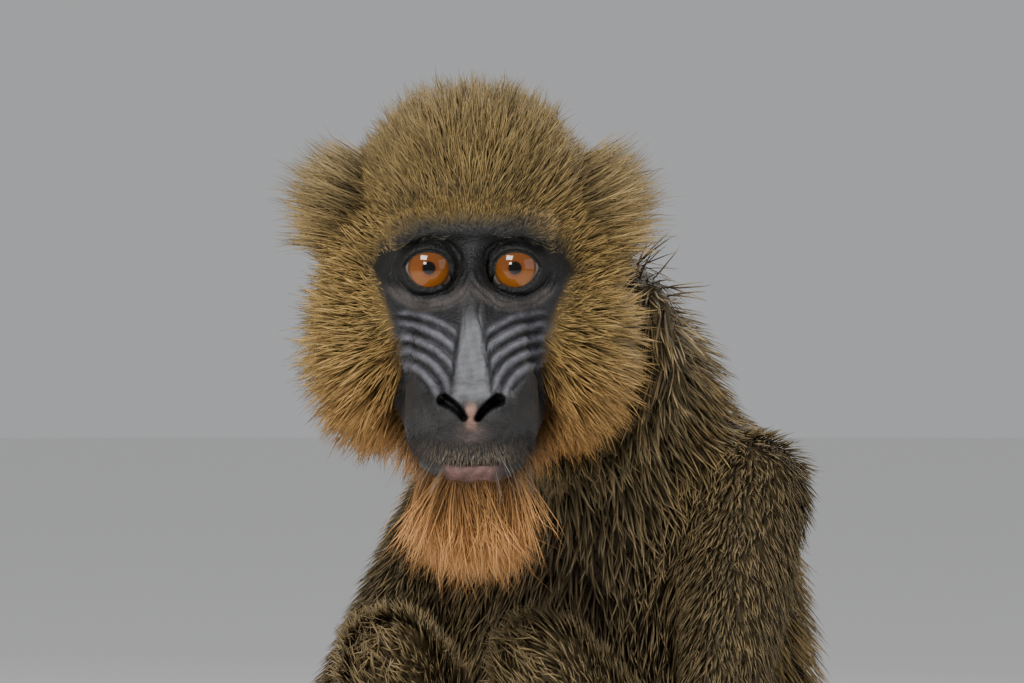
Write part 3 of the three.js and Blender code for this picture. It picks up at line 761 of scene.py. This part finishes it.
for side, name in ((1, "lids_left"), (-1, "lids_right")):
    turn = np.linspace(0, 2 * math.pi, LID_COLUMNS, endpoint=False)
    rim = opening_radius(turn)
    rings = []
    for step, height in zip(LID_STEPS, LID_HEIGHTS):
        away = rim + step
        x = away * np.cos(turn)
        z = away * np.sin(turn)
        over_ball = EYE_DEPTH - np.sqrt(np.maximum((EYE_RADIUS + height) ** 2 - away**2, 1.0))
        skin_y = skin_front(side * (EYE_X + x), z)
        share = ramp(step, 1.2, 5.0)
        y = over_ball * (1 - share) + (skin_y + 0.5 * share) * share
        rings.append(np.stack((side * (EYE_X + x), y, z), 1))
    points = np.concatenate(rings)
    shape = bmesh.new()
    corners = [shape.verts.new(point) for point in points]
    for ring in range(len(LID_STEPS) - 1):
        for i in range(LID_COLUMNS):
            j = (i + 1) % LID_COLUMNS
            a, b = ring * LID_COLUMNS, (ring + 1) * LID_COLUMNS
            shape.faces.new((corners[a + i], corners[a + j], corners[b + j], corners[b + i]))
    bmesh.ops.recalc_face_normals(shape, faces=shape.faces)
    mesh = mesh_of(shape, name)
    if vertex_normals(mesh)[:, 1].mean() > 0:
        mesh.flip_normals()
    colours = skin_colour(points) * (1 + 0.5 * ramp(np.repeat(LID_STEPS, LID_COLUMNS), 1.2, 4))[:, None]
    set_coordinates(mesh, placed(points))
    paint(mesh, colours)
    lids = smooth_object(mesh, FACE_SKIN)
    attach(lids, "root")


# The ears: thin bare cups with a rolled rim, mostly hidden behind the tufts in front of them.
EAR_AT = (42, 56, 22)
EAR_HALF = (4.6, 9, 12)
EAR_BROWN = (0.085, 0.064, 0.050)
EAR_TURN = Matrix.Rotation(math.radians(-32), 4, "Z") @ Matrix.Rotation(math.radians(8), 4, "X")
EAR_SKIN = bare_material("ear_skin", 900, 0.5, 0.4)
for side, name in ((1, "ear_cup_left"), (-1, "ear_cup_right")):
    shape = bmesh.new()
    bmesh.ops.create_uvsphere(shape, u_segments=48, v_segments=32, radius=1)
    for corner in shape.verts:
        x, y, z = corner.co
        if x > 0:
            x = -0.62 * x + 0.22 * math.exp(-((y * y + z * z - 0.8) ** 2) / 0.03)
        fold = 0.16 * math.exp(-(((y + 0.1) ** 2 + (z - 0.1) ** 2 - 0.3) ** 2) / 0.02)
        at = Vector((EAR_HALF[0] * (x + fold), EAR_HALF[1] * y, EAR_HALF[2] * z))
        corner.co = EAR_TURN @ at
        corner.co += Vector(EAR_AT)
        corner.co.x *= side
    bmesh.ops.recalc_face_normals(shape, faces=shape.faces)
    mesh = mesh_of(shape, name)
    points = coordinates(mesh)
    set_coordinates(mesh, placed(points))
    paint(mesh, np.tile(EAR_BROWN, (len(points), 1)) * (1 + 0.2 * wobble(points, 5, 1))[:, None])
    cup = smooth_object(mesh, EAR_SKIN)
    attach(cup, "root")


# The coat: each tuft is a thin closed blade of a few hairs, rooted in the skin, which bends back along the
# lie of the coat. It is dark at the root and banded with yellow towards the tip.
COAT_LIMIT = 11800
# Where along a tuft its rings are.
LEVELS_LONG = (0.0, 0.34, 0.72)
LEVELS_SHORT = (0.0, 0.5)
OFBAKE_PATCH = 0.003
ROOT_SINK = 0.6
COMB_PULL = 1.6
TAPER = (0.8, 1.0, 0.66)
BAND_PLACES = (0, 0.3, 0.55, 0.8, 1)
BAND_SHADES = (0.26, 0.55, 1.1, 1.7, 1.4)
TIP_PALENESS = 0.07
BRISTLE_DARK = (0.020, 0.019, 0.019)
BRISTLE_PALE = (0.19, 0.155, 0.12)


def unwrap_skin():
    """The skin's own unwrap, which gives each tuft its place on the tufts' maps."""
    bpy.ops.object.select_all(action="DESELECT")
    skin.select_set(True)
    bpy.context.view_layer.objects.active = skin
    bpy.ops.object.mode_set(mode="EDIT")
    bpy.ops.mesh.select_all(action="SELECT")
    bpy.ops.uv.smart_project(angle_limit=math.radians(66), island_margin=0.002)
    bpy.ops.object.mode_set(mode="OBJECT")


unwrap_skin()
skin.data.calc_loop_triangles()
TRIANGLES = len(skin.data.loop_triangles)


def of_triangles(kind):
    values = np.empty(TRIANGLES * 3, int)
    skin.data.loop_triangles.foreach_get(kind, values)
    return values.reshape(-1, 3)


corner_index = of_triangles("vertices")
loop_index = of_triangles("loops")
skin_uv = np.empty(len(skin.data.loops) * 2)
skin.data.uv_layers.active.data.foreach_get("uv", skin_uv)
skin_uv = skin_uv.reshape(-1, 2)
skin_points = local(coordinates(skin.data))
skin_normals = vertex_normals(skin.data)
corners = skin_points[corner_index]
middles = corners.mean(1)
sides = np.cross(corners[:, 1] - corners[:, 0], corners[:, 2] - corners[:, 0])
areas = np.linalg.norm(sides, axis=1) / 2
ON_HEAD = (head_distance(middles) < 4.5) & (middles[:, 1] < 96)


def head_coat(points):
    """The coat's depth on the head: none on the face, deepest on the cheeks."""
    x, y, z = folded(points)
    face = np.where(z > -8, 12 + 0.35 * z, 9.2 + 0.6 * (z + 8))
    brow = BROW_LINE + 0.5 - BROW_DROOP * np.minimum(x * x, 900)
    share = smooth(np.maximum((y - face) / 28, (z - brow) / 36)) ** 0.7
    cheek = ramp(z, 44, 10) * ramp(z, -72, -50) * ramp(x, 12, 34)
    depth = 12.5 + (16 - 12.5) * cheek
    depth += (13 - depth) * ramp(y, 50, 90)
    depth += (9 - depth) * ramp(z, -50, -64)
    return depth * share


def lie_of_coat(points, normals, head):
    """The way the coat lies at each point, along the skin."""
    out = points - np.array((0, 0, -15.0))
    out[:, 1] = 0
    z = points[:, 2]
    radial = unit(out) + np.array((0, 0.85, 0))
    radial[:, 2] -= 0.7 * ramp(z, -12, -50)
    chin = ramp(z, -56, -64) * ramp(points[:, 1], 30, 5)
    fall = np.stack((points[:, 0] * 0.04, 0 * z + 0.05, 0 * z - 1.0), 1)
    radial = radial * (1 - chin)[:, None] + fall * chin[:, None]
    nape = ramp(points[:, 1], 52, 86)
    back = np.stack((0.006 * points[:, 0], 0 * z + 0.5, 0 * z - 0.9), 1)
    radial = radial * (1 - nape)[:, None] + back * nape[:, None]
    along = bone_shares(points) @ unit(np.stack([bone[2] - bone[1] for bone in BONES]))
    along[:, 2] -= 0.25
    share = ramp(head, 7, 2)
    flow = radial * share[:, None] + along * (1 - share)[:, None]
    flow += 0.22 * np.stack([wobble(points, 7, seed) for seed in (11, 12, 13)], 1)
    return unit(flattened(flow, normals))


def roots(wanted, per_area):
    """Evenly scattered roots on the wanted triangles: their place, normal and place on the skin's unwrap."""
    amount = np.where(wanted, areas * per_area, 0)
    total = amount.sum()
    count = int(min(total, COAT_LIMIT))
    ladder = np.cumsum(amount)
    draws = (np.arange(count) + random.random(count)) / count * total
    chosen = np.minimum(np.searchsorted(ladder, draws), TRIANGLES - 1)
    a, b = random.random(count), random.random(count)
    over = a + b > 1
    a, b = np.where(over, 1 - a, a), np.where(over, 1 - b, b)
    weights = np.stack((1 - a - b, a, b), 1)
    place = np.einsum("ni,nik->nk", weights, skin_points[corner_index[chosen]])
    normal = unit(np.einsum("ni,nik->nk", weights, skin_normals[corner_index[chosen]]))
    uv = np.einsum("ni,nik->nk", weights, skin_uv[loop_index[chosen]])
    return place, normal, uv


def gathered(tips, seeds_every):
    """For each tip, the tip of the leading hair that is nearest, so that the coat breaks in locks."""
    leaders = random.permutation(len(tips))[: max(len(tips) // seeds_every, 1)]
    tree = kdtree.KDTree(len(leaders))
    for i, leader in enumerate(leaders):
        tree.insert(tips[leader], i)
    tree.balance()
    nearest = np.array([leaders[tree.find(tip)[1]] for tip in tips], int)
    return tips[nearest]


def tuft_faces(rings):
    """Triangles of one tuft: a closed root, a three-sided tube from ring to ring, and a point."""
    faces = [(0, 1, 2)]
    for ring in range(rings - 1):
        a, b = 3 * ring, 3 * ring + 3
        for i in range(3):
            j = (i + 1) % 3
            faces += [(a + j, a + i, b + i), (a + j, b + i, b + j)]
    last = 3 * (rings - 1)
    faces += [(last + (i + 1) % 3, last + i, 3 * rings) for i in range(3)]
    return np.array(faces)


def bristle_colour(place):
    pale = ramp(place[:, 2] - mouth_line(place[:, 0]), 9, 3) * ramp(np.abs(place[:, 0]), 20, 8)
    return mixed(np.tile(BRISTLE_DARK, (len(place), 1)), BRISTLE_PALE, 0.85 * pale)


def even(value):
    return lambda points: np.full(len(points), float(value))


def grow(name, wanted, per_area, length, half_width, lean, levels=LEVELS_LONG, clump=0.45, every=9,
         stray=0.05, comb=None, tint=(1, 1, 1), colour_at=coat_colour):
    """One piece of coat. length, half_width and lean, the angle to the skin, are functions of the root's
    place. clump, every and stray gather the tips in locks, and comb turns the coat's lie."""
    place, normal, uv = roots(wanted, per_area)
    count = len(place)
    flow = lie_of_coat(place, normal, head_distance(place))
    if comb is not None:
        flow = unit(flattened(flow + COMB_PULL * np.array(comb), normal))
    flow = unit(flow + np.cross(flow, normal) * random.normal(0, 0.16, count)[:, None])
    side = np.cross(flow, normal)
    long = length(place) * random.uniform(0.72, 1.18, count)
    angle = np.radians(lean(place)) * random.uniform(0.75, 1.25, count)
    angle = np.where(random.random(count) < stray, angle * 1.35, angle)
    out = np.sin(angle) * 1.25
    forward = np.cos(angle)
    bend = random.normal(0, 0.10, count)
    reach = flow * forward[:, None] + normal * (out * 0.8)[:, None] + side * bend[:, None]
    tips = place + reach * long[:, None]
    pulled = (gathered(tips, every) - tips) * (clump * random.uniform(0.5, 1.2, count))[:, None]
    pulled -= normal * np.minimum(np.sum(pulled * normal, 1), 0)[:, None]
    colour = colour_at(place) * tint
    tone = random.uniform(0.72, 1.3, count) * np.where(random.random(count) < 0.22, 0.55, 1)
    dark_tip = random.random(count) < 0.3
    wide = half_width(place) * random.uniform(0.7, 1.3, count)
    rings, shades, maps = [], [], []
    for level, t in enumerate((*levels, 1.0)):
        at = place - normal * ROOT_SINK + flow * (forward * long * t)[:, None]
        at = at + normal * (out * long * (t - 0.2 * t * t))[:, None] + side * (bend * long * t * t)[:, None]
        at = at + pulled * t**1.5
        taper = wide * TAPER[min(level, 2)]
        band = np.interp(t, BAND_PLACES, BAND_SHADES)
        band = np.where(dark_tip & (t > 0.9), 0.4, band) * tone
        hue = np.concatenate((colour * band[:, None], np.ones((count, 1))), 1)
        pale = np.clip(t - 0.45, 0, 1) * TIP_PALENESS
        hue[:, :3] = hue[:, :3] * (1 - pale) + hue[:, :3].max(1, keepdims=True) * pale
        if t == 1.0:
            rings.append(at[:, None])
            shades.append(hue[:, None])
            maps.append((uv + (OFBAKE_PATCH, OFBAKE_PATCH / 2))[:, None])
            continue
        ring = (at + side * taper[:, None], at - side * taper[:, None], at + normal * (0.6 * taper)[:, None])
        rings.append(np.stack(ring, 1))
        shades.append(np.repeat(hue[:, None], 3, 1))
        across = (OFBAKE_PATCH, 0, OFBAKE_PATCH / 2)
        maps.append(np.stack([uv + (t * OFBAKE_PATCH, v) for v in across], 1))
    points = np.concatenate(rings, 1)
    points[..., 2] = np.maximum(points[..., 2], FLOOR_GAP - EYE_HEIGHT)
    maps = np.clip(np.concatenate(maps, 1), 0, 1)
    per = points.shape[1]
    index = (np.arange(count)[:, None, None] * per + tuft_faces(len(levels))[None]).reshape(-1, 3)
    mesh = bpy.data.meshes.new(name)
    mesh.vertices.add(count * per)
    mesh.vertices.foreach_set("co", placed(points.reshape(-1, 3)).ravel())
    mesh.loops.add(index.size)
    mesh.loops.foreach_set("vertex_index", index.ravel())
    mesh.polygons.add(len(index))
    mesh.polygons.foreach_set("loop_start", np.arange(0, index.size, 3))
    mesh.update(calc_edges=True)
    layer = mesh.color_attributes.new("marking", "FLOAT_COLOR", "POINT")
    layer.data.foreach_set("color", np.clip(np.concatenate(shades, 1), 0, 1).ravel())
    uv_layer = mesh.uv_layers.new(name="OFBake")
    uv_layer.data.foreach_set("uv", maps.reshape(-1, 2)[index.ravel()].ravel())
    piece = smooth_object(mesh, COAT_MATERIAL)
    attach(piece, "root")


def hair_material():
    material = marked_material("hair")
    nodes = material.node_tree.nodes
    links = material.node_tree.links
    shader = nodes["Principled BSDF"]
    shader.inputs["Specular IOR Level"].default_value = 0.22
    place = nodes.new("ShaderNodeTexCoord")
    cloud = nodes.new("ShaderNodeTexNoise")
    cloud.inputs["Scale"].default_value = 260
    rough = nodes.new("ShaderNodeMath")
    rough.operation = "MULTIPLY_ADD"
    rough.inputs[1].default_value = 0.3
    rough.inputs[2].default_value = 0.38
    links.new(place.outputs["Object"], cloud.inputs["Vector"])
    links.new(cloud.outputs["Fac"], rough.inputs[0])
    links.new(rough.outputs[0], shader.inputs["Roughness"])
    return material


COAT_MATERIAL = hair_material()

edge_gap = face_edge_gap(middles)
haired = ON_HEAD & (edge_gap > np.where(middles[:, 2] > 4, -3.2, 0.6))
right_side = middles[:, 0] > 0
beard_part = haired & (middles[:, 2] < -56) & (middles[:, 1] < 34)
crown = haired & (middles[:, 2] > 16) & (middles[:, 1] < 74)
nape = haired & (middles[:, 1] >= 66) & ~crown
cheek = haired & ~beard_part & ~crown & ~nape


def head_length(points):
    grown = ramp(face_edge_gap(points), 0, 16)
    temple = ramp(np.abs(points[:, 0]), 18, 32) * ramp(points[:, 2], 24, 36)
    return 3.4 + 5.0 * grown + (0.85 - 0.3 * temple) * head_coat(points)


def head_lean(points):
    return 15 + 27 * ramp(head_coat(points), 1, 12)


def fine_width(points):
    return 0.15 + 0.06 * ramp(face_edge_gap(points), 0, 14)


def crown_length(points):
    return (0.86 + 0.22 * ramp(points[:, 2], 30, 44)) * head_length(points)


def crown_width(points):
    return 0.8 * fine_width(points)


for suffix, half in (("right", ~right_side), ("left", right_side)):
    grow(f"crown_{suffix}", crown & half, 2.3, crown_length, crown_width, head_lean, clump=0.3)
    grow(f"cheek_{suffix}", cheek & half, 1.45, head_length, fine_width, head_lean)
grow("nape", nape, 0.8, head_length, even(0.34), head_lean)


# The tufts before the ears: longer, paler and fluffier hair, which stands out and hides the cups.
def tuft_place(points):
    """Distance from the middle of the tuft's roots, one at their edge."""
    x, y, z = folded(points)
    return np.hypot(np.hypot((x - 36) / 11, (y - 40) / 12), (z - 20) / 16)


def tuft_length(points):
    return 31 - 8 * tuft_place(points)


for name, sign in (("ear_tuft_right", -1), ("ear_tuft_left", 1)):
    wanted = haired & (middles[:, 0] * sign > 0) & (tuft_place(middles) < 1)
    grow(name, wanted, 3.6, tuft_length, even(0.12), even(56), clump=0.2, every=14, stray=0.3,
         comb=(0.9 * sign, 0.3, 0.1), tint=(1.25, 1.3, 1.5))


# Short bristles round the mouth: dark on the sides of the muzzle, pale and upright on the upper lip, with a
# few long whiskers that sweep outwards.
lip_above = middles[:, 2] - mouth_line(middles[:, 0])
on_lip = (middles[:, 1] < -18) & (lip_above > 0.8) & (lip_above < 7.5) & (np.abs(middles[:, 0]) < 19)
on_muzzle = (middles[:, 1] < 2) & (middles[:, 2] < -38) & (np.abs(middles[:, 0]) > 9) & (lip_above > 1)
beside_nose = on_lip & (np.abs(middles[:, 0]) > 5)

grow("lip_bristles", on_lip, 3.2, even(3.6), even(0.075), even(34), LEVELS_SHORT,
     clump=0.15, comb=(0, 0, -1.5), colour_at=bristle_colour)
grow("muzzle_down", on_muzzle, 1.5, even(2.6), even(0.07), even(18), LEVELS_SHORT,
     clump=0.1, comb=(0, 0.8, -0.6), colour_at=bristle_colour)
grow("whiskers", beside_nose, 0.16, even(17), even(0.09), even(40),
     clump=0.0, comb=(0, 0.3, -0.5), colour_at=bristle_colour)


# The beard: long loose hair that falls from the chin and the corners of the jaw to a ragged edge.
def beard_length(points):
    chin = ramp(np.abs(points[:, 0]), 30, 9) * ramp(points[:, 1], 26, -6)
    return 14 + 16 * chin


grow("beard", beard_part, 3.0, beard_length, even(0.15), even(31), clump=0.5, every=12,
     stray=0.22)
grow("beard_wisps", beard_part, 0.10, even(38), even(0.13), even(30), clump=0.2, stray=0.3)


# The coat of the body: coarser, longest on the shoulders and flanks, short on the shanks and hands.
# Slot, bones, tufts for each square millimetre and half width of a tuft.
BODY_COATS = {
    "neck_coat": ("coat_olive", ("neck",), 0.75, 0.28),
    "trunk_coat": ("coat_olive", ("trunk",), 0.205, 0.46),
    "arms_coat": ("coat_grey", ("arm", "forearm"), 0.44, 0.34),
    "thighs_coat": ("coat_grey", ("thigh",), 0.36, 0.38),
    "shanks_coat": ("coat_grey", ("shank", "tail"), 0.36, 0.34),
    "paws_coat": ("coat_grey", ("hand", "foot"), 0.24, 0.2),
}
SOLE_HEIGHT = 2.5
strongest = BONE_KINDS[np.argmax(bone_shares(middles), 1)]
haired_body = ~ON_HEAD & (middles[:, 2] >= SOLE_HEIGHT - EYE_HEIGHT)
on_left = (middles - body(0, 0, 0)) @ LEFTWARD > 0


def body_length(points):
    near_head = ramp(head_distance(points), 26, 8)
    return (2.4 + 1.35 * body_coat(points)) * (1 - 0.45 * near_head)


def body_lean(points):
    near_head = ramp(head_distance(points), 24, 6)
    return 22 + 8 * ramp(body_coat(points), 3, 9) - 14 * near_head


for name, (slot, kinds, per_area, half) in BODY_COATS.items():
    wanted = haired_body & np.isin(strongest, kinds)
    levels = LEVELS_LONG if name in ("neck_coat", "trunk_coat") else LEVELS_SHORT
    for suffix, part in (("left", on_left), ("right", ~on_left)):
        grow(f"{name}_{suffix}", wanted & part, per_area, body_length, even(half), body_lean, levels,
             clump=0.25, stray=0.01)


# The nails: a dark domed horn on the end of every finger and toe, narrow and bluntly pointed.
NAIL_MATERIAL = bpy.data.materials.new("dark_horn")
NAIL_MATERIAL.use_nodes = True
nail_shader = NAIL_MATERIAL.node_tree.nodes["Principled BSDF"]
nail_shader.inputs["Base Color"].default_value = (0.020, 0.015, 0.012, 1)
nail_shader.inputs["Roughness"].default_value = 0.28
NAIL_HALF = (4.6, 2.5, 1.3)
NAIL_TILT = Matrix.Rotation(math.radians(14), 4, "Y")
DIGIT_LENGTHS = [0.84, 1, 0.95, 0.78]
# The middle of the digits' roots, their spacing and reach, the half thickness, and the digit set apart.
PAWS = {
    "nails_hand": ((82, -158), 8.3, 40, 5.2, ((76, -134), (63, -160))),
    "nails_foot": ((38, -162), 9.2, 44, 6.0, ((32, -124), (15, -158))),
}
for name, ((u, v), spread, reach, thick, set_apart) in PAWS.items():
    digits = [set_apart]
    for i, long in enumerate(DIGIT_LENGTHS):
        slot = i - 1.5
        tip = (u + slot * spread * 1.45 + spread * 0.12, v - long * reach)
        digits.append(((u + slot * spread, v + 3), tip))
    for suffix, sign in (("left", 1), ("right", -1)):
        shape = bmesh.new()
        for (u0, v0), (u1, v1) in digits:
            tip = Vector(body(sign * u1, v1, thick * 0.95))
            ahead = body(sign * u1, v1, 0) - body(sign * u0, v0, 0)
            turn = Matrix.Rotation(math.atan2(ahead[1], ahead[0]), 4, "Z") @ NAIL_TILT
            for corner in bmesh.ops.create_uvsphere(shape, u_segments=20, v_segments=14, radius=1)["verts"]:
                x, y, z = corner.co
                narrow = 1 - 0.45 * max(x, 0)
                droop = 1.5 * x * x * (x > 0) + 0.9 * y * y
                at = (NAIL_HALF[0] * x, NAIL_HALF[1] * y * narrow, NAIL_HALF[2] * z - droop)
                corner.co = turn @ Vector(at) + tip
        mesh = mesh_of(shape, f"{name}_{suffix}")
        set_coordinates(mesh, placed(coordinates(mesh)))
        nails = smooth_object(mesh, NAIL_MATERIAL)
        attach(nails, "root")


# A pale floor and soft light from a large window high on one side, with the photograph's long lens, level
# with the muzzle.
shape = bmesh.new()
bmesh.ops.create_circle(shape, cap_ends=True, segments=96, radius=14)
mesh = mesh_of(shape, "floor")
floor = bpy.data.objects.new("floor", mesh)
bpy.context.collection.objects.link(floor)
floor_material = bpy.data.materials.new("pale_floor")
floor_material.use_nodes = True
floor_shader = floor_material.node_tree.nodes["Principled BSDF"]
floor_shader.inputs["Base Color"].default_value = (0.90, 0.895, 0.88, 1)
floor_shader.inputs["Roughness"].default_value = 0.8
mesh.materials.append(floor_material)

world = bpy.data.worlds.new("studio")
world.use_nodes = True
backdrop = world.node_tree.nodes["Background"]
backdrop.inputs["Color"].default_value = (0.80, 0.81, 0.83, 1)
backdrop.inputs["Strength"].default_value = 0.5
bpy.context.scene.world = world


def soft_light(name, at, size, power, colour):
    data = bpy.data.lights.new(name, "AREA")
    data.shape = "RECTANGLE"
    data.size = size[0]
    data.size_y = size[1]
    data.energy = power
    data.color = colour
    light = bpy.data.objects.new(name, data)
    light.location = at
    towards = Vector(placed((10, 20, -20))) - Vector(at)
    light.rotation_euler = towards.to_track_quat("-Z", "Y").to_euler()
    bpy.context.collection.objects.link(light)


soft_light("window", (-0.5, -1.15, 1.25), (0.6, 0.45), 30, (1.0, 0.97, 0.92))
soft_light("catch_light", (-0.5, -1.7, 0.85), (0.3, 0.25), 11, (1.0, 0.98, 0.95))
soft_light("fill", (1.4, -1.0, 0.7), (1.2, 1.0), 6, (0.92, 0.96, 1.0))
soft_light("rim", (0.4, 1.0, 1.5), (1.2, 0.8), 26, (1.0, 0.98, 0.94))

camera_data = bpy.data.cameras.new("camera")
camera_data.lens = 204
camera_data.sensor_width = 36
camera_data.clip_start = 0.05
camera = bpy.data.objects.new("camera", camera_data)
camera.location = placed((12.4, -1800, -22.8))
camera.rotation_euler = (math.pi / 2, 0, 0)
bpy.context.collection.objects.link(camera)
bpy.context.scene.camera = camera
